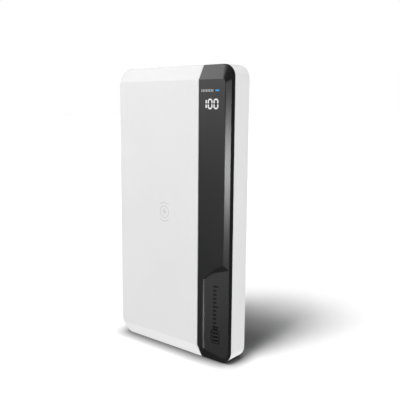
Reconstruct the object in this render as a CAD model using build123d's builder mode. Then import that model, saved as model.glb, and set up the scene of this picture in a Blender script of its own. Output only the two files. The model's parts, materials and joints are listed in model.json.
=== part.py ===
"""Wireless power bank with a three-digit charge display, standing on its short end.

Frame: origin at the centre of the bottom end, +X to the display side, -Y out of the
charging face, +Z up the long way.  Millimetres.
"""

import os
from build123d import *

os.makedirs("parts", exist_ok=True)

# ---------------------------------------------------------------- overall sizes
WIDTH = 73.8
HEIGHT = 145.0
DEPTH = 17.3
CORNER_R = 6.0

# ---------------------------------------------------------------- casing
SHELL_DEPTH = 5.1          # front shell, measured back from the charging face
WALL = 1.6
FACE_WALL = 1.8
BAND_WIDTH = 17.7          # dark trim band, measured from the display side
FACE_CORNER_R = 1.7        # corner of the flat front face
END_BEVEL = 7.0            # bevel at the short ends, along the face
END_BEVEL_DEPTH = 3.7
SIDE_BEVEL = 1.9           # bevel at the long sides, along the face
SIDE_BEVEL_DEPTH = 2.35
BACK_EDGE_R = 1.8
EDGE_R = 0.4               # softened edges of the front shell
SEAM_CHAMFER = 0.25        # on both pieces where the white cover meets the band
PARTING_CHAMFER = 0.2      # on both shells along the parting line
LIP_HEIGHT = 1.2           # tongue of the rear cover inside the front shell
LIP_WALL = 0.7
FIT = 0.1                  # clearance of pieces that slip into each other
GLUE_LEDGE = 2.4           # ledge of the front cover behind the band
GLUE_LEDGE_WALL = 0.8
GLUE_LEDGE_ROOT = 1.2
RIB_WALL = 1.0             # ribs that hold the cells
RIB_HEIGHT = 12.0
RIB_INSET = 8.0            # side ribs from the cells' ends

# ---------------------------------------------------------------- sunken panel of the band
PANEL_MARGIN = 3.5         # flush strip left of the panel
PANEL_STEP = 0.6           # 45 degree step at its left edge
PANEL_WALL = 1.3           # least wall behind the panel
PANEL_SIDE_TOP = 41.85     # height of its left edge
PANEL_CORNER_SLOPE = 0.87
PANEL_CORNER_LEAN = 0.6
PANEL_KNEE = 7.7           # where the slanted corner meets the shoulder, from the left edge
PANEL_SHOULDER_TOP = 55.0
PANEL_SHOULDER_SLOPE = 0.5
PANEL_SHOULDER_LEAN = 1.5

# ---------------------------------------------------------------- charging stack
COIL_R = 20.8
COIL_INNER_R = 10.5
COIL_WALL = 1.1
COIL_TURNS = 9
COIL_GROOVE = 0.24         # groove between turns
COIL_BAND_GAP = 1.5        # coil edge to the band
COIL_LEAD_PITCH = 2.0
COIL_LEAD_RISE = 4.5       # above the main board's lower edge
COIL_LEAD_BEND_R = 3.0
FILM_WALL = 0.15
FERRITE_SIDE = 50.0
FERRITE_WALL = 0.6
SHEET_CORNER_R = 1.5
SHEET_WALL = 0.25

# ---------------------------------------------------------------- cells
CELL_SIDE_GAP = 3.0
CELL_BASE_GAP = 4.4
CELL_TAPE = 0.3
PAD_WALL = 0.7
PAD_HEIGHT = 18.0
CELL_EDGE_R = 1.6
CELL_TERRACE = 3.0         # sealed end that carries the tabs
CELL_TERRACE_WALL = 0.5
TAB_WIDTH = 6.0
TAB_WALL = 0.15
TAB_HEIGHT = 1.2
TAB_PITCH = 30.0
THERMISTOR_LENGTH = 3.2
THERMISTOR_WIDTH = 1.6
THERMISTOR_WALL = 1.2

# ---------------------------------------------------------------- boards
BOARD_WALL = 1.0
BOARD_HEIGHT = 28.4
BOARD_SIDE_GAP = 2.4
BOARD_END_GAP = 1.6
BOARD_CORNER_R = 1.5
STANDOFF = 1.3
BOSS_R = 1.9
SCREW_R = 0.8
SCREW_HEAD_R = 1.5
SCREW_HEAD = 0.7
SCREW_LENGTH = 2.8
SCREW_INSET = 3.4
SCREW_PLAY = 0.02
SCREW_CROSS = 0.35         # width of the cross slot
SCREW_CROSS_SPAN = 1.95
GUARD_BOARD_WALL = 0.8     # protection board across the cells' ends
GUARD_BOARD_DEPTH = 7.4
GUARD_BOARD_WIDTH = 44.0
GUARD_BOARD_GAP = 2.2      # below the main board
GUARD_CHIP_PITCH = 8.0
GUARD_CHIP_WIDTH = 4.0
GUARD_CHIP_DEPTH = 3.0
GUARD_CHIP_SHIFT = 1.6     # back from the board's middle
CHIP_HEIGHT = 0.9
WIRE_R = 0.55
WIRE_RISE = 3.0            # above the main board's lower edge
WIRE_BEND_R = 1.6
LITZ_R = 0.4

# ---------------------------------------------------------------- components of the main board
ROW_RISE = 9.0             # row of large components above the board's lower edge
INDUCTOR_X = (-8.0, 2.0)
INDUCTOR_SIDE = 7.0
INDUCTOR_HEIGHT = 3.0
POWER_CHIP_X = 10.5
POWER_CHIP_SIDE = 6.0
COIL_DRIVER_X = -17.0
COIL_DRIVER_SIDE = 5.0
POWER_SWITCH_X = -24.0
POWER_SWITCH_SIDE = 3.3
POWER_SWITCH_PITCH = 4.4
TUNING_CAPACITOR_X = 18.0
TUNING_CAPACITOR = (3.2, 2.5)
TUNING_CAPACITOR_HEIGHT = 1.8
TUNING_CAPACITOR_PITCH = 3.0
SMALL_CAPACITOR_START = -6.5
SMALL_CAPACITOR_RISE = 5.6 # above the row of large components
SMALL_CAPACITOR = (1.0, 1.8)
SMALL_CAPACITOR_HEIGHT = 0.8
SMALL_CAPACITOR_PITCH = 2.4
SMALL_CAPACITOR_COUNT = 8

# ---------------------------------------------------------------- sockets
USB_A_X = -18.0
USB_A_WIDTH = 13.1
USB_A_DEPTH = 5.72
USB_A_LENGTH = 14.2
USB_C_X = 0.0
USB_C_WIDTH = 8.94
USB_C_DEPTH = 3.26
USB_C_LENGTH = 7.9
PORT_WALL = 0.3
PORT_RECESS = 0.6          # socket mouth below the end face
PORT_BASE_WALL = 1.6
PORT_CORNER_R = 0.4
USB_A_TONGUE_WIDTH = 11.1
USB_A_TONGUE_WALL = 1.84
USB_A_TONGUE_SHIFT = 0.7   # towards the charging face
USB_A_TONGUE_DROP = 1.2    # tongue's end below the mouth
USB_A_CONTACTS = (-3.5, -1.0, 1.0, 3.5)
USB_A_CONTACT_WIDTH = 1.0
USB_A_CONTACT_WALL = 0.2
USB_A_CONTACT_DROP = 0.8   # contacts' end below the tongue's end
USB_C_TONGUE_WIDTH = 6.7
USB_C_TONGUE_WALL = 0.7
USB_C_TONGUE_DROP = 0.9
USB_C_CONTACT_COUNT = 12
USB_C_CONTACT_PITCH = 0.5
USB_C_CONTACT_WIDTH = 0.25
USB_C_CONTACT_WALL = 0.1
USB_C_CONTACT_DROP = 0.6

# ---------------------------------------------------------------- power button
BUTTON_X = 16.0
BUTTON_WIDTH = 9.0
BUTTON_DEPTH = 3.6
BUTTON_PROUD = 0.3
BUTTON_TRAVEL = 0.35
BUTTON_FLANGE = 0.7
BUTTON_FLANGE_WALL = 0.8
BUTTON_EDGE_R = 0.25
BUTTON_STEM = 1.0          # below the flange
REST_GAP = 0.05            # clearance of pieces that meet when they move
SWITCH_WIDTH = 7.0
SWITCH_DEPTH = 3.5
SWITCH_LENGTH = 3.6
PLUNGER_WIDTH = 3.0
PLUNGER_DEPTH = 1.5
PLUNGER_LENGTH = 2.25
PLUNGER_STAND = 0.5        # left above the switch when pressed
DOME_HEIGHT = 0.65
DOME_INSET = 0.1
DOME_TAPER = 35.0

# ---------------------------------------------------------------- display
DIGIT_TOP = 15.9           # top of the digits, below the top end
DIGIT_HEIGHT = 4.8
DIGIT_WIDTH = 2.9
DIGIT_PITCH = 3.45
DIGIT_START = 3.5          # centre of the first digit from the band's left edge
SEGMENT_WALL = 0.72
SEGMENT_GAP = 0.16
LAMP_DROP = 12.15          # charging lamp below the top end
LAMP_X = 11.1              # charging lamp from the band's left edge
LAMP_WIDTH = 2.2
LAMP_HEIGHT = 0.7
LAMP_CORNER_R = 0.28
REFLECTOR_WALL = 2.5
REFLECTOR_MARGIN = 1.1
DISPLAY_BOARD_WALL = 0.8
DISPLAY_TAIL = 3.0         # board below the reflector, for the flat cable
LIGHT_CHIP_WALL = 0.4
LIGHT_CHIP_SIDE = 0.5
STATUS_CHIP_INSET = 0.3
FLEX_WIDTH = 6.0
FLEX_WALL = 0.2
FLEX_DROP = 1.5            # below the reflector
FLEX_SOCKET_HEIGHT = 1.4
FLEX_SOCKET_WIDTH = 3.0
FLEX_SOCKET_MARGIN = 0.8

# ---------------------------------------------------------------- marks let into the casing
MARK_DEPTH = 0.15
MARK_LINE = 0.45
MARK_RING_R = 3.2
MARK_ARC_R = 4.6
MARK_ARC_SPAN = 76.0
TICK_COUNT = 8
TICK_PITCH = 0.93
TICK_WIDTH = 0.5
TICK_HEIGHT = 1.2
TICK_X = 1.5               # first tick from the band's left edge
GAUGE_X = 9.0              # gauge marks from the band's left edge
GAUGE_BASE = 18.6
GAUGE_COUNT = 11
GAUGE_PITCH = 2.05
GAUGE_WIDTH = 3.0          # every fifth mark
GAUGE_SHORT = 1.9
GAUGE_LINE = 0.9
BATTERY_X = 10.4           # battery mark from the band's left edge
BATTERY_Z = 13.6
BATTERY_WIDTH = 5.0
BATTERY_HEIGHT = 7.0
BATTERY_CORNER_R = 0.8
LEVEL_PITCH = 1.9
LEVEL_HEIGHT = 1.1

# ---------------------------------------------------------------- derived places
FRONT_Y = -DEPTH / 2
BACK_Y = DEPTH / 2
TOUCH = 0.001              # tolerance when edges are chosen by their place
SIDE_X = WIDTH / 2
MIDDLE_Z = HEIGHT / 2
PARTING_Y = FRONT_Y + SHELL_DEPTH
INNER_FRONT_Y = FRONT_Y + FACE_WALL
INNER_BACK_Y = BACK_Y - WALL
INNER_TOP_Z = HEIGHT - WALL
BAND_X = SIDE_X - BAND_WIDTH
FACE_WIDTH = WIDTH - 2 * SIDE_BEVEL
FACE_HEIGHT = HEIGHT - 2 * END_BEVEL

PANEL_X = BAND_X + PANEL_MARGIN
PANEL_RUN = SIDE_X - PANEL_X - PANEL_STEP
PANEL_FALL = SIDE_BEVEL_DEPTH - PANEL_STEP

COIL_X = BAND_X - COIL_BAND_GAP - COIL_R
COIL_FRONT_Y = INNER_FRONT_Y + FILM_WALL
COIL_BACK_Y = COIL_FRONT_Y + COIL_WALL
FERRITE_BACK_Y = COIL_BACK_Y + FERRITE_WALL
CELL_FRONT_Y = FERRITE_BACK_Y + SHEET_WALL
CELL_BACK_Y = INNER_BACK_Y - PAD_WALL
CELL_WALL = (CELL_BACK_Y - CELL_FRONT_Y - CELL_TAPE) / 2
CELL_WIDTH = WIDTH - 2 * (WALL + CELL_SIDE_GAP)

BOARD_BACK_Y = INNER_BACK_Y - STANDOFF
BOARD_Y = BOARD_BACK_Y - BOARD_WALL
BOARD_WIDTH = WIDTH - 2 * (WALL + BOARD_SIDE_GAP)
BOARD_TOP_Z = INNER_TOP_Z - BOARD_END_GAP
BOARD_BASE_Z = BOARD_TOP_Z - BOARD_HEIGHT
GUARD_TOP_Z = BOARD_BASE_Z - GUARD_BOARD_GAP
GUARD_BASE_Z = GUARD_TOP_Z - GUARD_BOARD_WALL
CELL_BASE_Z = WALL + CELL_BASE_GAP
CELL_TOP_Z = GUARD_BASE_Z - CELL_TERRACE - TAB_HEIGHT
PORT_Z = HEIGHT - PORT_RECESS
USB_A_Y = BOARD_Y - USB_A_DEPTH / 2
USB_C_Y = BOARD_Y - USB_C_DEPTH / 2

SWITCH_Y = BOARD_Y - SWITCH_DEPTH / 2
FLANGE_TOP_Z = INNER_TOP_Z - REST_GAP
FLANGE_BASE_Z = FLANGE_TOP_Z - BUTTON_FLANGE_WALL
STEM_BASE_Z = FLANGE_BASE_Z - BUTTON_STEM
PLUNGER_TOP_Z = STEM_BASE_Z - REST_GAP
PLUNGER_BASE_Z = PLUNGER_TOP_Z - PLUNGER_LENGTH
SWITCH_TOP_Z = PLUNGER_TOP_Z - BUTTON_TRAVEL - PLUNGER_STAND
SWITCH_BASE_Z = SWITCH_TOP_Z - SWITCH_LENGTH
DOME_BASE_Z = PLUNGER_BASE_Z - DOME_HEIGHT

DIGIT_Z = HEIGHT - DIGIT_TOP - DIGIT_HEIGHT / 2
LAMP_Z = HEIGHT - LAMP_DROP
REFLECTOR_BACK_Y = INNER_FRONT_Y + REFLECTOR_WALL
DISPLAY_BACK_Y = REFLECTOR_BACK_Y + DISPLAY_BOARD_WALL


# ---------------------------------------------------------------- helpers
def block(x, y, z, mode=Mode.ADD):
    """Box between the low and high x, y and z, in the part being built."""
    with Locations(((x[0] + x[1]) / 2, (y[0] + y[1]) / 2, (z[0] + z[1]) / 2)):
        Box(x[1] - x[0], y[1] - y[0], z[1] - z[0], mode=mode)


def around(centre, size):
    """Low and high ends of a size about its centre."""
    return centre - size / 2, centre + size / 2


def face_plane(y):
    """Plane parallel to the charging face at y; local x is X and local y is Z."""
    return Plane.XZ.offset(-y)


def end_plane(z):
    """Plane parallel to the ends at z."""
    return Plane.XY.offset(z)


def outline(width, height, radius):
    """Rounded outline about mid height, in the sketch being built."""
    with Locations((0, MIDDLE_Z)):
        RectangleRounded(width, height, radius)


def beveled_body(start_y, inset):
    """Front shell's outer form, begun at start_y and drawn in by inset all round."""
    spread_x = 2 * SIDE_BEVEL * SHELL_DEPTH / SIDE_BEVEL_DEPTH
    spread_z = 2 * END_BEVEL * SHELL_DEPTH / END_BEVEL_DEPTH
    spread_r = 2 * (CORNER_R - FACE_CORNER_R) * SHELL_DEPTH / (SIDE_BEVEL_DEPTH + END_BEVEL_DEPTH)
    with BuildPart() as body:
        with BuildSketch(face_plane(start_y)):
            outline(FACE_WIDTH, FACE_HEIGHT, FACE_CORNER_R)
        with BuildSketch(face_plane(start_y + SHELL_DEPTH)):
            outline(FACE_WIDTH + spread_x, FACE_HEIGHT + spread_z, FACE_CORNER_R + spread_r)
        loft(ruled=True)
        with BuildSketch(face_plane(start_y + SHELL_DEPTH)):
            outline(WIDTH - 2 * inset, HEIGHT - 2 * inset, CORNER_R - inset)
        extrude(amount=SHELL_DEPTH, mode=Mode.INTERSECT)
    return body.part


def bar(x, z, length, angle):
    """One pointed segment of a digit, in the sketch being built."""
    tip = length / 2
    half = SEGMENT_WALL / 2
    upper = [(tip, 0), (tip - half, half), (half - tip, half)]
    lower = [(-tip, 0), (half - tip, -half), (tip - half, -half)]
    with Locations(Location((x, z), angle)):
        Polygon(*upper, *lower)


def segment(name, x):
    """Place and angle of a digit's segment, by its usual letter, for a digit centred at x."""
    side = (DIGIT_WIDTH - SEGMENT_WALL) / 2
    end = (DIGIT_HEIGHT - SEGMENT_WALL) / 2
    places = {
        "a": (x, DIGIT_Z + end, 0),
        "b": (x + side, DIGIT_Z + end / 2, 90),
        "c": (x + side, DIGIT_Z - end / 2, 90),
        "d": (x, DIGIT_Z - end, 0),
        "e": (x - side, DIGIT_Z - end / 2, 90),
        "f": (x - side, DIGIT_Z + end / 2, 90),
        "g": (x, DIGIT_Z, 0),
    }
    px, pz, angle = places[name]
    length = 2 * side if angle == 0 else end
    return px, pz, length - SEGMENT_GAP, angle


def finish(piece, name):
    """Label a piece and write it."""
    piece.part.label = name
    export_step(piece.part, f"parts/{name}.step")


def segments(group):
    """Segments of a list of digits, each given as its letters and its centre."""
    return [segment(letter, x) for letters, x in group for letter in letters]


def soften(radius):
    """Round the front outline and the bevels' outer edges of the part being built."""
    rim = edges().filter_by(lambda e: all(abs(v.Y - FRONT_Y) < TOUCH for v in e.vertices()))
    nearest, farthest = FRONT_Y + radius, PARTING_Y - radius
    brink = edges().filter_by(lambda e: all(nearest < v.Y < farthest for v in e.vertices()))
    fillet(rim + brink, radius)


def bevel_at(plane_x, plane_y, size):
    """Chamfer the edges in a plane of constant x, in front of plane_y, of the part being built."""
    seam = edges().filter_by(lambda e: all(abs(v.X - plane_x) < TOUCH for v in e.vertices()))
    chamfer(seam.filter_by(lambda e: e.center().Y < plane_y - TOUCH), size)


DIGIT_X = [BAND_X + DIGIT_START + i * DIGIT_PITCH for i in range(3)]
LIT = segments([("bc", DIGIT_X[0]), ("abcdef", DIGIT_X[1]), ("abcdef", DIGIT_X[2])])
UNLIT = segments([("g", DIGIT_X[1]), ("g", DIGIT_X[2])])


# ---------------------------------------------------------------- panel form
panel_plane = Plane(
    origin=(PANEL_X + PANEL_STEP, FRONT_Y + PANEL_STEP, 0),
    x_dir=(PANEL_RUN, PANEL_FALL, 0),
    z_dir=(PANEL_FALL, -PANEL_RUN, 0),
)
step_plane = Plane(origin=(PANEL_X, FRONT_Y, 0), z_dir=(1, -1, 0))
corner_plane = Plane(
    origin=(PANEL_X, FRONT_Y, PANEL_SIDE_TOP),
    z_dir=(PANEL_CORNER_SLOPE, -PANEL_CORNER_LEAN, -1.0),
)
shoulder_plane = Plane(
    origin=(PANEL_X + PANEL_KNEE, FRONT_Y, PANEL_SIDE_TOP + PANEL_KNEE * PANEL_CORNER_SLOPE),
    z_dir=(PANEL_SHOULDER_SLOPE, -PANEL_SHOULDER_LEAN, -1.0),
)

with BuildPart() as panel_cut:
    block((BAND_X, SIDE_X + WALL), (FRONT_Y - WALL, PARTING_Y), (-WALL, PANEL_SHOULDER_TOP))
    for cut in (panel_plane, step_plane, corner_plane, shoulder_plane):
        split(bisect_by=cut, keep=Keep.TOP)

with BuildPart() as panel_backing:
    block((BAND_X + GLUE_LEDGE + FIT, SIDE_X), (FRONT_Y, PARTING_Y), (0, PANEL_SHOULDER_TOP))
    split(bisect_by=panel_plane.offset(-PANEL_WALL), keep=Keep.TOP)

shell_hollow = beveled_body(INNER_FRONT_Y, WALL)

with BuildPart() as shell_form:
    add(beveled_body(FRONT_Y, 0))
    soften(EDGE_R)
    chamfer(faces().sort_by(Axis.Y)[-1].edges(), PARTING_CHAMFER)

LIP_INSET = WALL - LIP_WALL

with BuildPart() as lip_room:
    with BuildSketch(face_plane(PARTING_Y)):
        outline(WIDTH - 2 * (LIP_INSET - FIT), HEIGHT - 2 * (LIP_INSET - FIT), CORNER_R - LIP_INSET)
    extrude(amount=LIP_HEIGHT + FIT)


# ---------------------------------------------------------------- forms of the let-in marks
BOLT = [(0.5, 2.2), (-1.4, -0.35), (-0.15, -0.35), (-0.5, -2.2), (1.4, 0.35), (0.15, 0.35)]

with BuildPart() as charge_mark:
    with BuildSketch(face_plane(FRONT_Y)):
        with Locations((COIL_X, MIDDLE_Z)):
            Circle(MARK_RING_R)
            Circle(MARK_RING_R - MARK_LINE, mode=Mode.SUBTRACT)
            Polygon(*BOLT, align=None)
        for turn in (90, 270):
            start = turn - MARK_ARC_SPAN / 2
            with BuildLine():
                outer = CenterArc((COIL_X, MIDDLE_Z), MARK_ARC_R + MARK_LINE, start, MARK_ARC_SPAN)
                inner = CenterArc((COIL_X, MIDDLE_Z), MARK_ARC_R, start, MARK_ARC_SPAN)
                Line(outer @ 0, inner @ 0)
                Line(outer @ 1, inner @ 1)
            make_face()
    extrude(amount=-MARK_DEPTH)
finish(charge_mark, "charge_mark")

with BuildPart() as lamp_marks:
    for i in range(TICK_COUNT):
        block(
            around(BAND_X + TICK_X + (i + 0.5) * TICK_PITCH, TICK_WIDTH),
            (FRONT_Y, FRONT_Y + MARK_DEPTH),
            around(LAMP_Z, TICK_HEIGHT),
        )
finish(lamp_marks, "lamp_marks")


def on_panel(x, z):
    """Local point of the panel's plane for a distance from the band's left edge and a height."""
    return x - PANEL_MARGIN - PANEL_STEP, z


with BuildPart() as panel_marks:
    with BuildSketch(panel_plane):
        with Locations(on_panel(BATTERY_X, BATTERY_Z)):
            RectangleRounded(BATTERY_WIDTH, BATTERY_HEIGHT, BATTERY_CORNER_R)
            inner_width = BATTERY_WIDTH - 2 * MARK_LINE
            inner_height = BATTERY_HEIGHT - 2 * MARK_LINE
            RectangleRounded(inner_width, inner_height, BATTERY_CORNER_R - MARK_LINE, mode=Mode.SUBTRACT)
        with Locations(on_panel(BATTERY_X, BATTERY_Z + BATTERY_HEIGHT / 2 + MARK_LINE)):
            Rectangle(BATTERY_WIDTH / 2, MARK_LINE * 2)
        for level in (-1, 0, 1):
            with Locations(on_panel(BATTERY_X, BATTERY_Z + level * LEVEL_PITCH)):
                Rectangle(BATTERY_WIDTH - 4 * MARK_LINE, LEVEL_HEIGHT)
        for i in range(GAUGE_COUNT):
            width = GAUGE_WIDTH if i % 5 == 0 else GAUGE_SHORT
            with Locations(on_panel(GAUGE_X + width / 2, GAUGE_BASE + i * GAUGE_PITCH)):
                Rectangle(width, GAUGE_LINE)
    extrude(amount=-MARK_DEPTH)
finish(panel_marks, "panel_marks")

with BuildPart() as digits_lit:
    with BuildSketch(face_plane(FRONT_Y)):
        for x, z, length, angle in LIT:
            bar(x, z, length, angle)
    extrude(amount=-FACE_WALL)
finish(digits_lit, "digits_lit")

with BuildPart() as digits_unlit:
    with BuildSketch(face_plane(FRONT_Y)):
        for x, z, length, angle in UNLIT:
            bar(x, z, length, angle)
    extrude(amount=-FACE_WALL)
finish(digits_unlit, "digits_unlit")

with BuildPart() as lamp_guide:
    with BuildSketch(face_plane(FRONT_Y)):
        with Locations((BAND_X + LAMP_X, LAMP_Z)):
            RectangleRounded(LAMP_WIDTH, LAMP_HEIGHT, LAMP_CORNER_R)
    extrude(amount=-(FACE_WALL + REFLECTOR_WALL - LIGHT_CHIP_WALL))
finish(lamp_guide, "lamp_guide")

# ---------------------------------------------------------------- white front cover
with BuildPart() as front_cover:
    add(shell_form.part)
    block((BAND_X, SIDE_X), (FRONT_Y, PARTING_Y), (0, HEIGHT), mode=Mode.SUBTRACT)
    bevel_at(BAND_X, PARTING_Y, SEAM_CHAMFER)
    add(shell_hollow, mode=Mode.SUBTRACT)
    add(lip_room.part, mode=Mode.SUBTRACT)
    block(
        (BAND_X - GLUE_LEDGE_ROOT, BAND_X + GLUE_LEDGE),
        (INNER_FRONT_Y, INNER_FRONT_Y + GLUE_LEDGE_WALL),
        (END_BEVEL, HEIGHT - END_BEVEL),
    )
    add(charge_mark.part, mode=Mode.SUBTRACT)
finish(front_cover, "front_cover")

# ---------------------------------------------------------------- dark trim band
with BuildPart() as trim_band:
    add(shell_form.part)
    block((-SIDE_X, BAND_X), (FRONT_Y, PARTING_Y), (0, HEIGHT), mode=Mode.SUBTRACT)
    bevel_at(BAND_X, PARTING_Y, SEAM_CHAMFER)
    add(shell_hollow, mode=Mode.SUBTRACT)
    add(panel_backing.part & shell_form.part)
    add(lip_room.part, mode=Mode.SUBTRACT)
    add(panel_cut.part, mode=Mode.SUBTRACT)
    for let_in in (panel_marks, lamp_marks, digits_lit, digits_unlit, lamp_guide):
        add(let_in.part, mode=Mode.SUBTRACT)
finish(trim_band, "trim_band")

# ---------------------------------------------------------------- white rear cover
BOSS_X = BOARD_WIDTH / 2 - SCREW_INSET
BOSS_LOW_Z = BOARD_BASE_Z + SCREW_INSET
BOSS_HIGH_Z = BOARD_TOP_Z - SCREW_INSET
BOSSES = [(x, z) for x in (-BOSS_X, BOSS_X) for z in (BOSS_LOW_Z, BOSS_HIGH_Z)]
RIB_X = CELL_WIDTH / 2 + FIT

with BuildPart() as rear_cover:
    with BuildSketch(face_plane(PARTING_Y)):
        outline(WIDTH, HEIGHT, CORNER_R)
    extrude(amount=-(DEPTH - SHELL_DEPTH))
    fillet(faces().sort_by(Axis.Y)[-1].edges(), BACK_EDGE_R)
    chamfer(faces().sort_by(Axis.Y)[0].edges(), PARTING_CHAMFER)
    with BuildSketch(face_plane(PARTING_Y)):
        outline(WIDTH - 2 * LIP_INSET, HEIGHT - 2 * LIP_INSET, CORNER_R - LIP_INSET)
    extrude(amount=LIP_HEIGHT)
    with BuildSketch(face_plane(PARTING_Y - LIP_HEIGHT)):
        outline(WIDTH - 2 * WALL, HEIGHT - 2 * WALL, CORNER_R - WALL)
    extrude(amount=-(INNER_BACK_Y - PARTING_Y + LIP_HEIGHT), mode=Mode.SUBTRACT)
    for side in (-1, 1):
        x = sorted((side * RIB_X, side * (RIB_X + RIB_WALL)))
        for z in (CELL_BASE_Z + RIB_INSET, CELL_TOP_Z - RIB_INSET - RIB_HEIGHT):
            block(x, (PARTING_Y, INNER_BACK_Y), (z, z + RIB_HEIGHT))
    block(
        (-CELL_WIDTH / 4, CELL_WIDTH / 4),
        (PARTING_Y, INNER_BACK_Y),
        (CELL_BASE_Z - FIT - RIB_WALL, CELL_BASE_Z - FIT),
    )
    with BuildSketch(face_plane(BOARD_BACK_Y)):
        with Locations(*BOSSES):
            Circle(BOSS_R)
    extrude(amount=-STANDOFF)
    with BuildSketch(face_plane(BOARD_BACK_Y)):
        with Locations(*BOSSES):
            Circle(SCREW_R)
    extrude(amount=-(SCREW_LENGTH - BOARD_WALL), mode=Mode.SUBTRACT)
    with BuildSketch(end_plane(HEIGHT)):
        with Locations((USB_A_X, USB_A_Y)):
            RectangleRounded(USB_A_WIDTH + 2 * FIT, USB_A_DEPTH + 2 * FIT, PORT_CORNER_R + FIT)
        with Locations((USB_C_X, USB_C_Y)):
            SlotOverall(USB_C_WIDTH + 2 * FIT, USB_C_DEPTH + 2 * FIT)
        with Locations((BUTTON_X, SWITCH_Y)):
            SlotOverall(BUTTON_WIDTH + 2 * FIT, BUTTON_DEPTH + 2 * FIT)
    extrude(amount=-WALL, mode=Mode.SUBTRACT)
finish(rear_cover, "rear_cover")

# ================================================================ charging stack
with BuildPart() as charging_coil:
    with BuildSketch(face_plane(COIL_FRONT_Y)):
        with Locations((COIL_X, MIDDLE_Z)):
            Circle(COIL_R)
            Circle(COIL_INNER_R, mode=Mode.SUBTRACT)
    extrude(amount=-COIL_WALL)
    with BuildSketch(face_plane(COIL_FRONT_Y)):
        with Locations((COIL_X, MIDDLE_Z)):
            for turn in reversed(range(1, COIL_TURNS)):
                radius = COIL_INNER_R + turn * (COIL_R - COIL_INNER_R) / COIL_TURNS
                Circle(radius + COIL_GROOVE / 2)
                Circle(radius - COIL_GROOVE / 2, mode=Mode.SUBTRACT)
    extrude(amount=-COIL_WALL / 2, mode=Mode.SUBTRACT)
finish(charging_coil, "charging_coil")

with BuildPart() as coil_film:
    with BuildSketch(face_plane(INNER_FRONT_Y)):
        with Locations((COIL_X, MIDDLE_Z)):
            Circle(COIL_R)
    extrude(amount=-FILM_WALL)
finish(coil_film, "coil_film")

with BuildPart() as ferrite_sheet:
    with BuildSketch(face_plane(COIL_BACK_Y)):
        with Locations((COIL_X, MIDDLE_Z)):
            RectangleRounded(FERRITE_SIDE, FERRITE_SIDE, SHEET_CORNER_R)
    extrude(amount=-FERRITE_WALL)
finish(ferrite_sheet, "ferrite_sheet")

with BuildPart() as insulation_sheet:
    with BuildSketch(face_plane(FERRITE_BACK_Y)):
        with Locations((0, (CELL_BASE_Z + CELL_TOP_Z) / 2)):
            flat_height = CELL_TOP_Z - CELL_BASE_Z - 2 * CELL_EDGE_R
            RectangleRounded(CELL_WIDTH - 2 * CELL_EDGE_R, flat_height, SHEET_CORNER_R)
    extrude(amount=-SHEET_WALL)
finish(insulation_sheet, "insulation_sheet")

# the two coil ends rise past the cells and turn in to the main board
COIL_LEAD_X = around(COIL_X, COIL_LEAD_PITCH)
COIL_LEAD_Y = COIL_FRONT_Y + COIL_WALL / 2
COIL_LEAD_TOP_Z = BOARD_BASE_Z + COIL_LEAD_RISE

with BuildPart() as coil_leads:
    for x in COIL_LEAD_X:
        with BuildLine() as route:
            FilletPolyline(
                (x, COIL_LEAD_Y, MIDDLE_Z + COIL_R),
                (x, COIL_LEAD_Y, COIL_LEAD_TOP_Z),
                (x, BOARD_Y, COIL_LEAD_TOP_Z),
                radius=COIL_LEAD_BEND_R,
            )
        with BuildSketch(end_plane(MIDDLE_Z + COIL_R)):
            with Locations((x, COIL_LEAD_Y)):
                Circle(LITZ_R)
        sweep(path=route.line)
finish(coil_leads, "coil_leads")


# ================================================================ cells
def pouch(front_y):
    """Pouch cell with its sealed terrace, front face at front_y."""
    middle = front_y + CELL_WALL / 2
    with BuildPart() as cell:
        block((-CELL_WIDTH / 2, CELL_WIDTH / 2), (front_y, front_y + CELL_WALL), (CELL_BASE_Z, CELL_TOP_Z))
        fillet(edges(), CELL_EDGE_R)
        block(
            (-CELL_WIDTH / 2 + CELL_EDGE_R, CELL_WIDTH / 2 - CELL_EDGE_R),
            around(middle, CELL_TERRACE_WALL),
            (CELL_TOP_Z - CELL_EDGE_R / 2, CELL_TOP_Z + CELL_TERRACE),
        )
    return cell


def tabs(front_y):
    """Two nickel tabs from a cell's terrace up to the protection board."""
    with BuildPart() as pair:
        for x in (-TAB_PITCH / 2, TAB_PITCH / 2):
            block(
                around(x, TAB_WIDTH),
                around(front_y + CELL_WALL / 2, TAB_WALL),
                (CELL_TOP_Z + CELL_TERRACE, GUARD_BASE_Z),
            )
    return pair


REAR_CELL_Y = CELL_FRONT_Y + CELL_WALL + CELL_TAPE
front_cell = pouch(CELL_FRONT_Y)
finish(front_cell, "front_cell")
rear_cell = pouch(REAR_CELL_Y)
finish(rear_cell, "rear_cell")
front_cell_tabs = tabs(CELL_FRONT_Y)
finish(front_cell_tabs, "front_cell_tabs")
rear_cell_tabs = tabs(REAR_CELL_Y)
finish(rear_cell_tabs, "rear_cell_tabs")

CELL_FLAT_X = (-CELL_WIDTH / 2 + CELL_EDGE_R, CELL_WIDTH / 2 - CELL_EDGE_R)
CELL_FLAT_Z = (CELL_BASE_Z + CELL_EDGE_R, CELL_TOP_Z - CELL_EDGE_R)

with BuildPart() as cell_tape:
    block(CELL_FLAT_X, (CELL_FRONT_Y + CELL_WALL, REAR_CELL_Y), CELL_FLAT_Z)
finish(cell_tape, "cell_tape")

with BuildPart() as cell_pads:
    for z in (CELL_FLAT_Z[0] + PAD_HEIGHT, CELL_FLAT_Z[1] - PAD_HEIGHT):
        block(CELL_FLAT_X, (CELL_BACK_Y, INNER_BACK_Y), around(z, PAD_HEIGHT))
finish(cell_pads, "cell_pads")

GUARD_MIDDLE_Y = CELL_FRONT_Y + CELL_WALL + CELL_TAPE / 2
GUARD_Y = around(GUARD_MIDDLE_Y, GUARD_BOARD_DEPTH)

with BuildPart() as protection_board:
    block(around(0, GUARD_BOARD_WIDTH), GUARD_Y, (GUARD_BASE_Z, GUARD_TOP_Z))
finish(protection_board, "protection_board")

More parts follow.
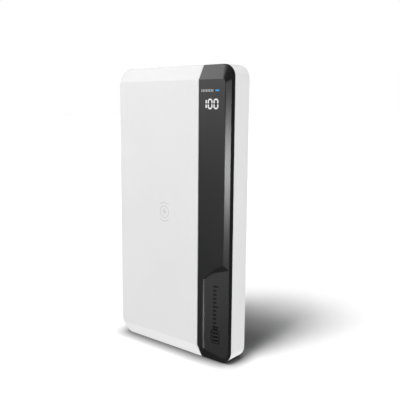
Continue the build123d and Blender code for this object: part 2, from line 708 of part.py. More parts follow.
with BuildPart() as protection_chips:
    for x in (-GUARD_CHIP_PITCH, 0, GUARD_CHIP_PITCH):
        block(
            around(x, GUARD_CHIP_WIDTH),
            around(GUARD_MIDDLE_Y + GUARD_CHIP_SHIFT, GUARD_CHIP_DEPTH),
            (GUARD_TOP_Z, GUARD_TOP_Z + CHIP_HEIGHT),
        )
finish(protection_chips, "protection_chips")


def board_lead(x):
    """Wire from the protection board up and in to the main board."""
    top_z = BOARD_BASE_Z + WIRE_RISE
    start_y = GUARD_Y[0] + 2 * WIRE_R
    corners = [(x, start_y, GUARD_TOP_Z), (x, start_y, top_z), (x, BOARD_Y, top_z)]
    with BuildPart() as wire:
        with BuildLine() as route:
            FilletPolyline(*corners, radius=WIRE_BEND_R)
        with BuildSketch(end_plane(GUARD_TOP_Z)):
            with Locations((x, start_y)):
                Circle(WIRE_R)
        sweep(path=route.line)
    return wire


positive_lead = board_lead(-TAB_PITCH / 2)
finish(positive_lead, "positive_lead")
negative_lead = board_lead(TAB_PITCH / 2)
finish(negative_lead, "negative_lead")

with BuildPart() as cell_thermistor:
    with BuildSketch(face_plane(CELL_FRONT_Y + CELL_WALL / 2 - CELL_TERRACE_WALL / 2)):
        with Locations((0, CELL_TOP_Z + CELL_TERRACE / 2)):
            SlotOverall(THERMISTOR_LENGTH, THERMISTOR_WIDTH)
    extrude(amount=THERMISTOR_WALL)
finish(cell_thermistor, "cell_thermistor")

# ================================================================ main board
with BuildPart() as main_board:
    with BuildSketch(face_plane(BOARD_Y)):
        with Locations((0, (BOARD_BASE_Z + BOARD_TOP_Z) / 2)):
            RectangleRounded(BOARD_WIDTH, BOARD_HEIGHT, BOARD_CORNER_R)
        with Locations(*BOSSES):
            Circle(SCREW_R + FIT, mode=Mode.SUBTRACT)
    extrude(amount=-BOARD_WALL)
finish(main_board, "main_board")

with BuildPart() as board_screws:
    with BuildSketch(face_plane(BOARD_Y - SCREW_HEAD)):
        with Locations(*BOSSES):
            Circle(SCREW_HEAD_R)
    extrude(amount=-SCREW_HEAD)
    with BuildSketch(face_plane(BOARD_Y)):
        with Locations(*BOSSES):
            Circle(SCREW_R - SCREW_PLAY)
    extrude(amount=-(SCREW_LENGTH - FIT))
    with BuildSketch(face_plane(BOARD_Y - SCREW_HEAD)):
        with Locations(*BOSSES):
            Rectangle(SCREW_CROSS_SPAN, SCREW_CROSS)
            Rectangle(SCREW_CROSS, SCREW_CROSS_SPAN)
    extrude(amount=-SCREW_HEAD / 2, mode=Mode.SUBTRACT)
finish(board_screws, "board_screws")


def parts_on_board(places, size, height):
    """Group of equal components on the main board's front, at (x, z) places."""
    with BuildPart() as group:
        for x, z in places:
            block(around(x, size[0]), (BOARD_Y - height, BOARD_Y), around(z, size[1]))
    return group


def square(side):
    """Width and height of a square component."""
    return side, side


ROW_Z = BOARD_BASE_Z + ROW_RISE
USB_A_BASE_Z = PORT_Z - USB_A_LENGTH
USB_C_BASE_Z = PORT_Z - USB_C_LENGTH

places = [(x, ROW_Z) for x in INDUCTOR_X]
power_inductors = parts_on_board(places, square(INDUCTOR_SIDE), INDUCTOR_HEIGHT)
finish(power_inductors, "power_inductors")

power_chip = parts_on_board([(POWER_CHIP_X, ROW_Z)], square(POWER_CHIP_SIDE), CHIP_HEIGHT)
finish(power_chip, "power_chip")

coil_driver_chip = parts_on_board([(COIL_DRIVER_X, ROW_Z)], square(COIL_DRIVER_SIDE), CHIP_HEIGHT)
finish(coil_driver_chip, "coil_driver_chip")

places = [(POWER_SWITCH_X, ROW_Z + i * POWER_SWITCH_PITCH) for i in (-0.5, 0.5)]
power_switches = parts_on_board(places, square(POWER_SWITCH_SIDE), CHIP_HEIGHT)
finish(power_switches, "power_switches")

places = [(TUNING_CAPACITOR_X, ROW_Z + i * TUNING_CAPACITOR_PITCH) for i in (-1, 0, 1)]
tuning_capacitors = parts_on_board(places, TUNING_CAPACITOR, TUNING_CAPACITOR_HEIGHT)
finish(tuning_capacitors, "tuning_capacitors")

small_row_z = ROW_Z + SMALL_CAPACITOR_RISE
places = [
    (SMALL_CAPACITOR_START + i * SMALL_CAPACITOR_PITCH, small_row_z) for i in range(SMALL_CAPACITOR_COUNT)
]
small_capacitors = parts_on_board(places, SMALL_CAPACITOR, SMALL_CAPACITOR_HEIGHT)
finish(small_capacitors, "small_capacitors")

# ================================================================ sockets
with BuildPart() as usb_a_shell:
    with BuildSketch(end_plane(USB_A_BASE_Z)):
        with Locations((USB_A_X, USB_A_Y)):
            RectangleRounded(USB_A_WIDTH, USB_A_DEPTH, PORT_CORNER_R)
            Rectangle(USB_A_WIDTH - 2 * PORT_WALL, USB_A_DEPTH - 2 * PORT_WALL, mode=Mode.SUBTRACT)
    extrude(amount=USB_A_LENGTH)
finish(usb_a_shell, "usb_a_shell")

USB_A_TONGUE_Y = USB_A_Y - USB_A_TONGUE_SHIFT
USB_A_TONGUE_TOP = PORT_Z - USB_A_TONGUE_DROP

with BuildPart() as usb_a_tongue:
    block(
        around(USB_A_X, USB_A_WIDTH - 2 * PORT_WALL),
        around(USB_A_Y, USB_A_DEPTH - 2 * PORT_WALL),
        (USB_A_BASE_Z, USB_A_BASE_Z + PORT_BASE_WALL),
    )
    block(
        around(USB_A_X, USB_A_TONGUE_WIDTH),
        around(USB_A_TONGUE_Y, USB_A_TONGUE_WALL),
        (USB_A_BASE_Z + PORT_BASE_WALL, USB_A_TONGUE_TOP),
    )
finish(usb_a_tongue, "usb_a_tongue")

with BuildPart() as usb_a_contacts:
    contact_y = USB_A_TONGUE_Y + USB_A_TONGUE_WALL / 2
    for offset in USB_A_CONTACTS:
        block(
            around(USB_A_X + offset, USB_A_CONTACT_WIDTH),
            (contact_y, contact_y + USB_A_CONTACT_WALL),
            (USB_A_BASE_Z + PORT_BASE_WALL, USB_A_TONGUE_TOP - USB_A_CONTACT_DROP),
        )
finish(usb_a_contacts, "usb_a_contacts")

with BuildPart() as usb_c_shell:
    with BuildSketch(end_plane(USB_C_BASE_Z)):
        with Locations((USB_C_X, USB_C_Y)):
            SlotOverall(USB_C_WIDTH, USB_C_DEPTH)
            SlotOverall(USB_C_WIDTH - 2 * PORT_WALL, USB_C_DEPTH - 2 * PORT_WALL, mode=Mode.SUBTRACT)
    extrude(amount=USB_C_LENGTH)
finish(usb_c_shell, "usb_c_shell")

USB_C_TONGUE_TOP = PORT_Z - USB_C_TONGUE_DROP

with BuildPart() as usb_c_tongue:
    with BuildSketch(end_plane(USB_C_BASE_Z)):
        with Locations((USB_C_X, USB_C_Y)):
            SlotOverall(USB_C_WIDTH - 2 * PORT_WALL, USB_C_DEPTH - 2 * PORT_WALL)
    extrude(amount=PORT_BASE_WALL)
    block(
        around(USB_C_X, USB_C_TONGUE_WIDTH),
        around(USB_C_Y, USB_C_TONGUE_WALL),
        (USB_C_BASE_Z + PORT_BASE_WALL, USB_C_TONGUE_TOP),
    )
finish(usb_c_tongue, "usb_c_tongue")

with BuildPart() as usb_c_contacts:
    first_x = USB_C_X - (USB_C_CONTACT_COUNT - 1) * USB_C_CONTACT_PITCH / 2
    rise = USB_C_TONGUE_WALL / 2
    for side in (-1, 1):
        y = sorted((USB_C_Y + side * rise, USB_C_Y + side * (rise + USB_C_CONTACT_WALL)))
        for i in range(USB_C_CONTACT_COUNT):
            block(
                around(first_x + i * USB_C_CONTACT_PITCH, USB_C_CONTACT_WIDTH),
                y,
                (USB_C_BASE_Z + PORT_BASE_WALL, USB_C_TONGUE_TOP - USB_C_CONTACT_DROP),
            )
finish(usb_c_contacts, "usb_c_contacts")

# ================================================================ power button and its switch
with BuildPart() as power_button:
    with BuildSketch(end_plane(INNER_TOP_Z - REST_GAP)):
        with Locations((BUTTON_X, SWITCH_Y)):
            SlotOverall(BUTTON_WIDTH, BUTTON_DEPTH)
    extrude(amount=WALL + REST_GAP + BUTTON_PROUD)
    fillet(faces().sort_by(Axis.Z)[-1].edges(), BUTTON_EDGE_R)
    with BuildSketch(end_plane(FLANGE_BASE_Z)):
        with Locations((BUTTON_X, SWITCH_Y)):
            SlotOverall(BUTTON_WIDTH + 2 * BUTTON_FLANGE, BUTTON_DEPTH + 2 * BUTTON_FLANGE)
    extrude(amount=BUTTON_FLANGE_WALL)
    block(around(BUTTON_X, PLUNGER_WIDTH), around(SWITCH_Y, PLUNGER_DEPTH), (STEM_BASE_Z, FLANGE_BASE_Z))
finish(power_button, "power_button")

with BuildPart() as switch_body:
    block(
        around(BUTTON_X, SWITCH_WIDTH),
        (SWITCH_Y - SWITCH_DEPTH / 2, BOARD_Y),
        (SWITCH_BASE_Z, SWITCH_TOP_Z),
    )
    block(
        around(BUTTON_X, PLUNGER_WIDTH + 2 * FIT),
        around(SWITCH_Y, PLUNGER_DEPTH + 2 * FIT),
        (DOME_BASE_Z, SWITCH_TOP_Z),
        mode=Mode.SUBTRACT,
    )
finish(switch_body, "switch_body")

with BuildPart() as switch_plunger:
    block(around(BUTTON_X, PLUNGER_WIDTH), around(SWITCH_Y, PLUNGER_DEPTH), (PLUNGER_BASE_Z, PLUNGER_TOP_Z))
finish(switch_plunger, "switch_plunger")

with BuildPart() as switch_dome:
    with BuildSketch(end_plane(DOME_BASE_Z)):
        with Locations((BUTTON_X, SWITCH_Y)):
            Rectangle(PLUNGER_WIDTH - 2 * DOME_INSET, PLUNGER_DEPTH - 2 * DOME_INSET)
    extrude(amount=DOME_HEIGHT - REST_GAP, taper=DOME_TAPER)
finish(switch_dome, "switch_dome")

# ================================================================ display
DISPLAY_X = (BAND_X + GLUE_LEDGE + FIT, DIGIT_X[2] + DIGIT_WIDTH / 2 + REFLECTOR_MARGIN)
DISPLAY_Z = (DIGIT_Z - DIGIT_HEIGHT / 2 - REFLECTOR_MARGIN, LAMP_Z + LAMP_HEIGHT / 2 + REFLECTOR_MARGIN)

with BuildPart() as display_reflector:
    block(DISPLAY_X, (INNER_FRONT_Y, REFLECTOR_BACK_Y), DISPLAY_Z)
    with BuildSketch(face_plane(INNER_FRONT_Y)):
        for x, z, length, angle in LIT + UNLIT:
            bar(x, z, length, angle)
        with Locations((BAND_X + LAMP_X, LAMP_Z)):
            RectangleRounded(LAMP_WIDTH, LAMP_HEIGHT, LAMP_CORNER_R)
    extrude(amount=-REFLECTOR_WALL, mode=Mode.SUBTRACT)
finish(display_reflector, "display_reflector")

with BuildPart() as display_board:
    block(DISPLAY_X, (REFLECTOR_BACK_Y, DISPLAY_BACK_Y), (DISPLAY_Z[0] - DISPLAY_TAIL, DISPLAY_Z[1]))
finish(display_board, "display_board")

CHIP_Y = (REFLECTOR_BACK_Y - LIGHT_CHIP_WALL, REFLECTOR_BACK_Y)

with BuildPart() as display_lamps:
    for x, z, length, angle in LIT + UNLIT:
        block(around(x, LIGHT_CHIP_SIDE), CHIP_Y, around(z, LIGHT_CHIP_SIDE))
finish(display_lamps, "display_lamps")

with BuildPart() as status_lamp:
    block(
        around(BAND_X + LAMP_X, LAMP_WIDTH - 2 * STATUS_CHIP_INSET),
        CHIP_Y,
        around(LAMP_Z, LAMP_HEIGHT - STATUS_CHIP_INSET),
    )
finish(status_lamp, "status_lamp")

# flat cable from the display board in to its socket on the main board
FLEX_X = (DISPLAY_X[0] + DISPLAY_X[1]) / 2
FLEX_Z = DISPLAY_Z[0] - FLEX_DROP
SOCKET_Y = BOARD_Y - FLEX_SOCKET_HEIGHT

with BuildPart() as display_socket:
    block(
        around(FLEX_X, FLEX_WIDTH + 2 * FLEX_SOCKET_MARGIN),
        (SOCKET_Y, BOARD_Y),
        around(FLEX_Z, FLEX_SOCKET_WIDTH),
    )
finish(display_socket, "display_socket")

with BuildPart() as display_cable:
    block(around(FLEX_X, FLEX_WIDTH), (DISPLAY_BACK_Y, SOCKET_Y), around(FLEX_Z, FLEX_WALL))
finish(display_cable, "display_cable")
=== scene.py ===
"""Looks of the wireless power bank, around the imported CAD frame."""
import json
from math import cos, pi, radians, sin

import bmesh
import bpy
from mathutils import Euler, Matrix, Vector


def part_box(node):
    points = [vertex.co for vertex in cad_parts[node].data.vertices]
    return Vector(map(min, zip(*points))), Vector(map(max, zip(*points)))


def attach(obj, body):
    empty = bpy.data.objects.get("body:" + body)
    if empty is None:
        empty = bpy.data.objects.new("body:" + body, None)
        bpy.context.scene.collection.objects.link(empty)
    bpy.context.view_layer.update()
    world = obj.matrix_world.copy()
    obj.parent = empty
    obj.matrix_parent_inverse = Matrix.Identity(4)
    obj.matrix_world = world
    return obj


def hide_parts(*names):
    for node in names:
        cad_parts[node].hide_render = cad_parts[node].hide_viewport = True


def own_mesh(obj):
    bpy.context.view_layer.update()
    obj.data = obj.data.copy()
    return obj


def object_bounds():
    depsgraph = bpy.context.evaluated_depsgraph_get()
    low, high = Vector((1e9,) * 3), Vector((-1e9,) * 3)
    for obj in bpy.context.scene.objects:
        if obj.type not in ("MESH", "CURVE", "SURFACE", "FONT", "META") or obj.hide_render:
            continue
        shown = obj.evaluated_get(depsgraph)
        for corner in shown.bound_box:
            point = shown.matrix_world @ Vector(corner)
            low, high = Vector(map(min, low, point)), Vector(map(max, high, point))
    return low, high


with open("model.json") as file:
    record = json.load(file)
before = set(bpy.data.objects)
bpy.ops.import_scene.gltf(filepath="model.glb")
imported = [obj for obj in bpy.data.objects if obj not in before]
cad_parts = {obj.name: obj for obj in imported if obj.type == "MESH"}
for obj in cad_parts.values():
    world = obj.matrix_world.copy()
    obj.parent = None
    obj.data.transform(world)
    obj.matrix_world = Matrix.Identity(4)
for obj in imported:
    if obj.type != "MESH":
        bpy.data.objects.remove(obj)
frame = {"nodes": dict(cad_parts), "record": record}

CAD_LOW, CAD_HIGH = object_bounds()
MM = 0.001

FRONT_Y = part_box("front_cover")[0].y
BAND_LOW, BAND_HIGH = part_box("trim_band")
OBJECT_MIDDLE = (CAD_LOW + CAD_HIGH) / 2


# ---------------------------------------------------------------- node helpers
def new_material(name):
    """Material with its node tree and Principled shader, which is joined to the output."""
    material = bpy.data.materials.new(name)
    material.use_nodes = True
    tree = material.node_tree
    tree.nodes.clear()
    output = tree.nodes.new("ShaderNodeOutputMaterial")
    shader = tree.nodes.new("ShaderNodeBsdfPrincipled")
    tree.links.new(shader.outputs["BSDF"], output.inputs["Surface"])
    return material, tree, shader


def add(tree, kind, **settings):
    """New node; settings with a matching input go there, the others are attributes."""
    node = tree.nodes.new(kind)
    for key, value in settings.items():
        socket = key.replace("_", " ")
        if socket in node.inputs:
            node.inputs[socket].default_value = value
        else:
            setattr(node, key, value)
    return node


def noise(tree, coordinates, size, detail=3.0, rough=0.55):
    """Noise with features of the given size in metres."""
    node = add(tree, "ShaderNodeTexNoise", Scale=1.0 / size, Detail=detail, Roughness=rough)
    tree.links.new(coordinates, node.inputs["Vector"])
    return node.outputs["Fac"]


def spread(tree, value, low, high, start=0.3, end=0.7):
    """Map a value between start and end to one between low and high."""
    node = add(tree, "ShaderNodeMapRange")
    tree.links.new(value, node.inputs["Value"])
    node.inputs["From Min"].default_value = start
    node.inputs["From Max"].default_value = end
    node.inputs["To Min"].default_value = low
    node.inputs["To Max"].default_value = high
    return node.outputs["Result"]


MIX_FIRST, MIX_SECOND = 6, 7       # the Mix node's colour sockets, which share their names
MIX_RESULT = 2


def blend_colour(tree, factor, first, second):
    """Colour between two, by a factor."""
    node = add(tree, "ShaderNodeMix", data_type="RGBA")
    tree.links.new(factor, node.inputs["Factor"])
    for socket, value in ((node.inputs[MIX_FIRST], first), (node.inputs[MIX_SECOND], second)):
        if isinstance(value, bpy.types.NodeSocket):
            tree.links.new(value, socket)
        else:
            socket.default_value = (*value, 1.0)
    return node.outputs[MIX_RESULT]


def bump(tree, height, strength, distance, normal=None):
    """Bumped normal: a height of 1 stands distance metres proud."""
    node = add(tree, "ShaderNodeBump", Strength=strength, Distance=distance)
    tree.links.new(height, node.inputs["Height"])
    if normal is not None:
        tree.links.new(normal, node.inputs["Normal"])
    return node.outputs["Normal"]


DRIFT_SIZE = 30 * MM
SPECK_GRAINS = 5
EDGE_ROUND = 0.15 * MM
# painted highlight on edges: how far it reaches round them and how much lighter it makes the colour
PAINTED_HIGHLIGHT_ROUND = 0.35 * MM
PAINTED_HIGHLIGHT_LIGHTENING = 0.25
PAINTED_HIGHLIGHT_BEND = (0.82, 0.995)          # cosine between flat and rounded normal: full painted highlight, no painted highlight


def moulded(name, colour, roughness, grain, depth, tint=0.03, specular=0.5, painted_highlight=0.0):
    """Moulded plastic: spark-eroded grain, slow colour drift, specks, softened edges with a painted
    highlight that lightens them.
    """
    material, tree, shader = new_material(name)
    where = add(tree, "ShaderNodeTexCoord").outputs["Object"]
    drift = noise(tree, where, DRIFT_SIZE, 2.0)
    fine = noise(tree, where, grain, 4.0, 0.6)
    speck = noise(tree, where, grain * SPECK_GRAINS, 3.0, 0.6)
    darker = tuple(c * (1 - tint) for c in colour)
    lighter = tuple(min(1.0, c * (1 + tint)) for c in colour)
    base = blend_colour(tree, spread(tree, drift, 0.0, 1.0), darker, lighter)
    base = blend_colour(tree, spread(tree, speck, 0.0, 0.25), base, darker)
    # painted highlight: rounded edges are lightened as if they caught the light
    if painted_highlight > 0:
        rounded = add(tree, "ShaderNodeBevel", samples=4, Radius=PAINTED_HIGHLIGHT_ROUND).outputs["Normal"]
        flat = add(tree, "ShaderNodeNewGeometry").outputs["Normal"]
        dot = add(tree, "ShaderNodeVectorMath", operation="DOT_PRODUCT")
        tree.links.new(rounded, dot.inputs[0])
        tree.links.new(flat, dot.inputs[1])
        highlight_mask = spread(tree, dot.outputs["Value"], painted_highlight, 0.0, *PAINTED_HIGHLIGHT_BEND)
        highlight_colour = tuple(min(1.0, c + PAINTED_HIGHLIGHT_LIGHTENING) for c in colour)
        base = blend_colour(tree, highlight_mask, base, highlight_colour)
    tree.links.new(base, shader.inputs["Base Color"])
    tree.links.new(spread(tree, speck, roughness * 0.93, roughness * 1.07), shader.inputs["Roughness"])
    shader.inputs["Specular IOR Level"].default_value = specular
    softened = add(tree, "ShaderNodeBevel", samples=4, Radius=EDGE_ROUND).outputs["Normal"]
    tree.links.new(bump(tree, fine, 0.6, depth, softened), shader.inputs["Normal"])
    return material


STREAK_DEPTH = 0.004 * MM


def metal(name, colour, roughness, grain=(0.05, 0.05, 2.0)):
    """Drawn or plated metal with streaks; grain is their size in millimetres along X, Y and Z."""
    material, tree, shader = new_material(name)
    where = add(tree, "ShaderNodeTexCoord").outputs["Object"]
    stretch = add(tree, "ShaderNodeMapping")
    stretch.inputs["Scale"].default_value = tuple(1.0 / (g * MM) for g in grain)
    tree.links.new(where, stretch.inputs["Vector"])
    streak = add(tree, "ShaderNodeTexNoise", Scale=1.0, Detail=3.0)
    tree.links.new(stretch.outputs["Vector"], streak.inputs["Vector"])
    streaks = streak.outputs["Fac"]
    base = blend_colour(tree, spread(tree, streaks, 0.0, 1.0), tuple(c * 0.86 for c in colour), colour)
    tree.links.new(base, shader.inputs["Base Color"])
    shader.inputs["Metallic"].default_value = 1.0
    tree.links.new(spread(tree, streaks, roughness * 0.8, roughness * 1.25), shader.inputs["Roughness"])
    tree.links.new(bump(tree, streaks, 0.5, STREAK_DEPTH), shader.inputs["Normal"])
    return material


CLOUD_SIZE = 0.6 * MM


def lit(name, colour, strength, face):
    """Light guide that glows, with slightly cloudy brightness."""
    material, tree, shader = new_material(name)
    where = add(tree, "ShaderNodeTexCoord").outputs["Object"]
    cloud = noise(tree, where, CLOUD_SIZE, 2.0)
    glow = blend_colour(tree, spread(tree, cloud, 0.0, 1.0), tuple(c * 0.82 for c in colour), colour)
    shader.inputs["Base Color"].default_value = (*face, 1.0)
    tree.links.new(glow, shader.inputs["Emission Color"])
    shader.inputs["Emission Strength"].default_value = strength
    shader.inputs["Roughness"].default_value = 0.35
    return material


WHITE = (0.80, 0.80, 0.80)
BUTTON_WHITE = (0.79, 0.79, 0.785)
NEAR_BLACK = (0.0135, 0.0135, 0.014)
MARK_GREY = (0.62, 0.62, 0.62)
MARK_PALE = (0.52, 0.53, 0.55)
MARK_BLACK = (0.002, 0.002, 0.002)
SMOKE = (0.016, 0.016, 0.017)
LAMP_BLUE = (0.03, 0.42, 0.95)
LAMP_FACE = (0.01, 0.05, 0.1)
DIGIT_WHITE = (1.0, 1.0, 1.0)
DIGIT_FACE = (0.05, 0.05, 0.05)
STEEL = (0.62, 0.62, 0.64)
PORT_BLACK = (0.015, 0.015, 0.016)
GOLD = (0.9, 0.66, 0.28)
BOARD_GREEN = (0.01, 0.09, 0.04)
COPPER = (0.72, 0.35, 0.2)

materials = {
    # the white shells get a painted highlight on their rounded edges
    "white_cover": moulded("white_cover", WHITE, 0.42, 0.22 * MM, 0.004 * MM, tint=0.012, painted_highlight=0.25),
    "white_rear": moulded("white_rear", WHITE, 0.46, 0.26 * MM, 0.006 * MM, tint=0.012, painted_highlight=0.2),
    "white_button": moulded("white_button", BUTTON_WHITE, 0.38, 0.2 * MM, 0.003 * MM, tint=0.01),
    "dark_band": moulded("dark_band", NEAR_BLACK, 0.3, 0.16 * MM, 0.002 * MM, tint=0.12),
    "grey_mark": moulded("grey_mark", MARK_GREY, 0.5, 0.15 * MM, 0.002 * MM),
    "pale_marks": moulded("pale_marks", MARK_PALE, 0.5, 0.1 * MM, 0.002 * MM, tint=0.1),
    "dark_marks": moulded("dark_marks", MARK_BLACK, 0.25, 0.15 * MM, 0.001 * MM, tint=0.1, specular=0.2),
    "smoked_digits": moulded("smoked_digits", SMOKE, 0.2, 0.15 * MM, 0.001 * MM, tint=0.1),
    "lit_digits": lit("lit_digits", DIGIT_WHITE, 0.85, DIGIT_FACE),
    "blue_lamp": lit("blue_lamp", LAMP_BLUE, 0.75, LAMP_FACE),
    "port_steel": metal("port_steel", STEEL, 0.28),
    "port_plastic": moulded("port_plastic", PORT_BLACK, 0.45, 0.1 * MM, 0.002 * MM, tint=0.1),
    "gold": metal("gold", GOLD, 0.22),
    "board": moulded("board", BOARD_GREEN, 0.3, 0.3 * MM, 0.004 * MM, tint=0.1),
    "copper": metal("copper", COPPER, 0.3, grain=(0.2, 0.2, 0.2)),
}


def class_material(entry):
    """Procedural material for an inner slot, from the record's class and colour."""
    colour = tuple(entry["base_color"][:3])
    if entry["class"] in ("brushed_steel", "aluminium", "brass", "chrome", "cast_iron"):
        return metal(entry["slot"], colour, 0.35)
    return moulded(entry["slot"], colour, 0.5, 0.2 * MM, 0.004 * MM, tint=0.06)


for entry in frame["record"]["materials"]:
    if entry["slot"] not in materials:
        materials[entry["slot"]] = class_material(entry)

for part in frame["record"]["subparts"]:
    mesh = frame["nodes"][part["node"]].data
    mesh.materials.clear()
    mesh.materials.append(materials[part["material_slot"]])


# ---------------------------------------------------------------- snap dome of the switch
DOME_LOW, DOME_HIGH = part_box("switch_dome")
DOME_RINGS = 10
DOME_SIDES = 48


def make_dome():
    """Metal dome under the switch plunger."""
    middle = (DOME_LOW + DOME_HIGH) / 2
    half = (DOME_HIGH - DOME_LOW) / 2
    height = DOME_HIGH.z - DOME_LOW.z
    shape = bmesh.new()
    rings = []
    for step in range(1, DOME_RINGS + 1):
        out = step / DOME_RINGS
        z = DOME_LOW.z + height * cos(out * pi / 2)
        ring = []
        for side in range(DOME_SIDES):
            turn = 2 * pi * side / DOME_SIDES
            x = middle.x + half.x * out * cos(turn)
            y = middle.y + half.y * out * sin(turn)
            ring.append(shape.verts.new((x, y, z)))
        rings.append(ring)
    top = shape.verts.new((middle.x, middle.y, DOME_HIGH.z))
    for side in range(DOME_SIDES):
        after = (side + 1) % DOME_SIDES
        shape.faces.new((top, rings[0][side], rings[0][after]))
        for inner, outer in zip(rings, rings[1:]):
            shape.faces.new((inner[side], outer[side], outer[after], inner[after]))
    shape.faces.new(list(reversed(rings[-1])))
    for face in shape.faces:
        face.smooth = len(face.verts) < DOME_SIDES
    mesh = bpy.data.meshes.new("snap_dome")
    shape.to_mesh(mesh)
    shape.free()
    mesh.materials.append(materials["port_steel"])
    dome = bpy.data.objects.new("snap_dome", mesh)
    bpy.context.scene.collection.objects.link(dome)
    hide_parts("switch_dome")
    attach(dome, "casing")
    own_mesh(dome)
    return dome


snap_dome = make_dome()


# ---------------------------------------------------------------- camera
CAMERA_PLACE = Vector((196.84, -221.90, 122.91)) * MM
CAMERA_TURN = 39.59
CAMERA_TILT = 8.62
CAMERA_ROLL = 0.42
SENSOR = 36.0
LENS = 52.18
CLIP = (0.01, 60.0)


def make_camera():
    """Camera to the front and right of the object, a little below the height of its top."""
    data = bpy.data.cameras.new("camera")
    data.sensor_width = SENSOR
    data.lens = LENS
    data.clip_start, data.clip_end = CLIP
    camera = bpy.data.objects.new("camera", data)
    aim = Euler((radians(90 - CAMERA_TILT), 0.0, radians(CAMERA_TURN))).to_matrix()
    camera.rotation_mode = "QUATERNION"
    camera.rotation_quaternion = (aim @ Matrix.Rotation(radians(CAMERA_ROLL), 3, "Z")).to_quaternion()
    camera.location = CAMERA_PLACE
    bpy.context.scene.collection.objects.link(camera)
    bpy.context.scene.camera = camera


make_camera()


# ---------------------------------------------------------------- floor
FLOOR_REACH = 12.0
FLOOR_TONES = ((0.895, 0.895, 0.895), (0.905, 0.905, 0.905))
FLOOR_PATCH = 0.25
# painted shade on the floor near the object: reach, sharpness and darkest colour
PAINTED_SHADE_REACH = 8 * MM
PAINTED_SHADE_SHARPNESS = 1.3
PAINTED_SHADE_TONE = (0.01, 0.01, 0.01)


def make_floor():
    """Plain pale floor with painted contact shade where the object meets it."""
    mesh = bpy.data.meshes.new("floor")
    low, high = -FLOOR_REACH, FLOOR_REACH
    corners = [(low, low, 0), (high, low, 0), (high, high, 0), (low, high, 0)]
    mesh.from_pydata(corners, [], [(0, 1, 2, 3)])
    floor = bpy.data.objects.new("floor", mesh)
    bpy.context.scene.collection.objects.link(floor)
    material, tree, shader = new_material("floor_paper")
    where = add(tree, "ShaderNodeTexCoord").outputs["Object"]
    tone = spread(tree, noise(tree, where, FLOOR_PATCH, 2.0), 0.0, 1.0)
    base = blend_colour(tree, tone, *FLOOR_TONES)
    # painted shade: an occlusion node darkens the floor's own colour near the object
    painted_shade_occlusion = add(tree, "ShaderNodeAmbientOcclusion", samples=16, Distance=PAINTED_SHADE_REACH)
    sharper = add(tree, "ShaderNodeMath", operation="POWER")
    sharper.inputs[1].default_value = PAINTED_SHADE_SHARPNESS
    tree.links.new(painted_shade_occlusion.outputs["AO"], sharper.inputs[0])
    painted_shade_colour = blend_colour(tree, sharper.outputs[0], PAINTED_SHADE_TONE, base)
    tree.links.new(painted_shade_colour, shader.inputs["Base Color"])
    shader.inputs["Roughness"].default_value = 0.8
    shader.inputs["Specular IOR Level"].default_value = 0.0
    mesh.materials.append(material)
    floor.visible_glossy = False
    floor.visible_diffuse = False
    floor.visible_shadow = False
    return floor


# ---------------------------------------------------------------- lights
def direction(azimuth, elevation):
    """Unit vector from the object: azimuth 0 is -Y, 90 is +X."""
    a, e = radians(azimuth), radians(elevation)
    return Vector((sin(a) * cos(e), -cos(a) * cos(e), sin(e)))


def mirrored(point, normal):
    """Direction in which a surface at a point mirrors the camera."""
    view = (CAMERA_PLACE - point).normalized()
    facing = Vector(normal).normalized()
    return 2 * view.dot(facing) * facing - view


def place_lamp(light, towards, location, receivers):
    """Lamp in the scene that shines back along a direction, on some pieces only."""
    lamp = bpy.data.objects.new(light.name, light)
    lamp.location = location
    lamp.rotation_mode = "QUATERNION"
    lamp.rotation_quaternion = towards.to_track_quat("Z", "Y")
    lamp.visible_camera = False
    lamp.light_linking.receiver_collection = receivers
    bpy.context.scene.collection.objects.link(lamp)
    return lamp


def sun(name, azimuth, elevation, strength, spread_angle, receivers):
    """Far soft light without a mirror image."""
    light = bpy.data.lights.new(name, "SUN")
    light.energy = strength
    light.angle = radians(spread_angle)
    lamp = place_lamp(light, direction(azimuth, elevation), (0, 0, 0), receivers)
    lamp.visible_glossy = False


def lamp_panel(name, azimuth, elevation, distance, size, radiance, receivers):
    """Large lamp panel that faces the object, without a mirror image."""
    light = bpy.data.lights.new(name, "AREA")
    light.shape = "RECTANGLE"
    light.size, light.size_y = size
    light.energy = radiance * pi * size[0] * size[1]
    towards = direction(azimuth, elevation)
    lamp = place_lamp(light, towards, OBJECT_MIDDLE + towards * distance, receivers)
    lamp.visible_glossy = False


BOX_DISTANCE = 0.3


def softbox(name, point, normal, size, radiance, receivers):
    """Rectangular lamp where a surface point mirrors it to the camera."""
    light = bpy.data.lights.new(name, "AREA")
    light.shape = "RECTANGLE"
    light.size, light.size_y = size
    light.energy = radiance * pi * size[0] * size[1]
    towards = mirrored(point, normal)
    lamp = place_lamp(light, towards, point + towards * BOX_DISTANCE, receivers)
    lamp.visible_diffuse = False


def group(name, pieces):
    """Collection of pieces that a lamp shines on."""
    collection = bpy.data.collections.new(name)
    for piece in pieces:
        collection.objects.link(piece)
    return collection


floor = make_floor()
on_floor = group("on_floor", [floor])
on_object = group("on_object", [*frame["nodes"].values(), snap_dome])
on_band = group("on_band", [frame["nodes"]["trim_band"]])
# the shells and the band throw no bounce light
for node in ("front_cover", "rear_cover", "trim_band"):
    frame["nodes"][node].visible_diffuse = False

# three suns in a column make one tall soft source: elevation and strength of each
FLOOR_KEYS = [(53, 1.52), (61, 1.58), (71, 0.91)]
FLOOR_KEY_AZIMUTH = -8
FLOOR_KEY_SPREAD = 20

for elevation, strength in FLOOR_KEYS:
    name = f"floor_key_{elevation}"
    sun(name, FLOOR_KEY_AZIMUTH, elevation, strength, FLOOR_KEY_SPREAD, on_floor)
sun("floor_dome", 0, 90, 0.36, 180, on_floor)
lamp_panel("key", -20, 45, 2.7, (1.8, 1.8), 7.15, on_object)
sun("from_below", -20, -80, 4.25, 50, on_object)
sun("side_fill", 84, 8, 2.75, 30, on_object)
sun("left_fill", -90, 10, 1.9, 40, on_object)
sun("back_fill", 190, 12, 2.4, 60, on_object)

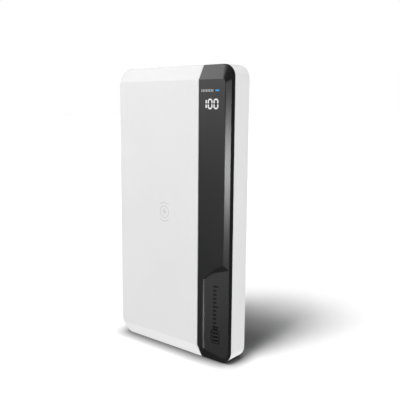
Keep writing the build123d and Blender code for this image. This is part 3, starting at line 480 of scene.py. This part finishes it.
# places on the band that mirror a small softbox: its long side bevel and the panel's left step
BEVEL_WIDTH = 1.9                  # millimetres, as is the depth: only their ratio turns the box
BEVEL_DEPTH = 2.35
BEVEL_SHINE = Vector((BAND_HIGH.x - 1 * MM, FRONT_Y + 1.2 * MM, 97.5 * MM))
STEP_SHINE = Vector((BAND_LOW.x + 3.8 * MM, FRONT_Y + 0.3 * MM, 25 * MM))

softbox("bevel_box", BEVEL_SHINE, (BEVEL_DEPTH, -BEVEL_WIDTH, 0), (0.03, 0.055), 61.0, on_band)
softbox("step_box", STEP_SHINE, (1, -1, 0), (0.03, 0.022), 44.0, on_band)

# soft cards that glossy surfaces mirror: azimuth, elevation, core and edge half angles, radiance
CARDS = [
    (-42, 18, 8, 23, 3.9),
    (-22, -9, 8, 14, 2.1),
    (-63, 42, 10, 18, 4.4),
]


def make_world():
    """White backdrop; mirror reflections see soft cards before a dark room instead."""
    world = bpy.data.worlds.new("studio")
    bpy.context.scene.world = world
    world.use_nodes = True
    tree = world.node_tree
    tree.nodes.clear()
    output = tree.nodes.new("ShaderNodeOutputWorld")
    shown = add(tree, "ShaderNodeBackground", Strength=1.0)
    shown.inputs["Color"].default_value = (1.0, 1.0, 1.0, 1.0)
    room = add(tree, "ShaderNodeBackground")
    where = add(tree, "ShaderNodeTexCoord").outputs["Generated"]
    total = None
    for azimuth, elevation, core, edge, radiance in CARDS:
        towards = add(tree, "ShaderNodeVectorMath", operation="DOT_PRODUCT")
        tree.links.new(where, towards.inputs[0])
        towards.inputs[1].default_value = direction(azimuth, elevation)
        fade = (cos(radians(edge)), cos(radians(core)))
        card = spread(tree, towards.outputs["Value"], 0.0, radiance, *fade)
        if total is None:
            total = card
            continue
        both = add(tree, "ShaderNodeMath", operation="ADD")
        tree.links.new(total, both.inputs[0])
        tree.links.new(card, both.inputs[1])
        total = both.outputs[0]
    tree.links.new(total, room.inputs["Strength"])
    path = add(tree, "ShaderNodeLightPath")
    pick = add(tree, "ShaderNodeMixShader")
    tree.links.new(path.outputs["Is Glossy Ray"], pick.inputs["Fac"])
    tree.links.new(shown.outputs["Background"], pick.inputs[1])
    tree.links.new(room.outputs["Background"], pick.inputs[2])
    tree.links.new(pick.outputs["Shader"], output.inputs["Surface"])
    world.cycles_visibility.diffuse = False


make_world()
bpy.context.scene.view_settings.view_transform = "Standard"
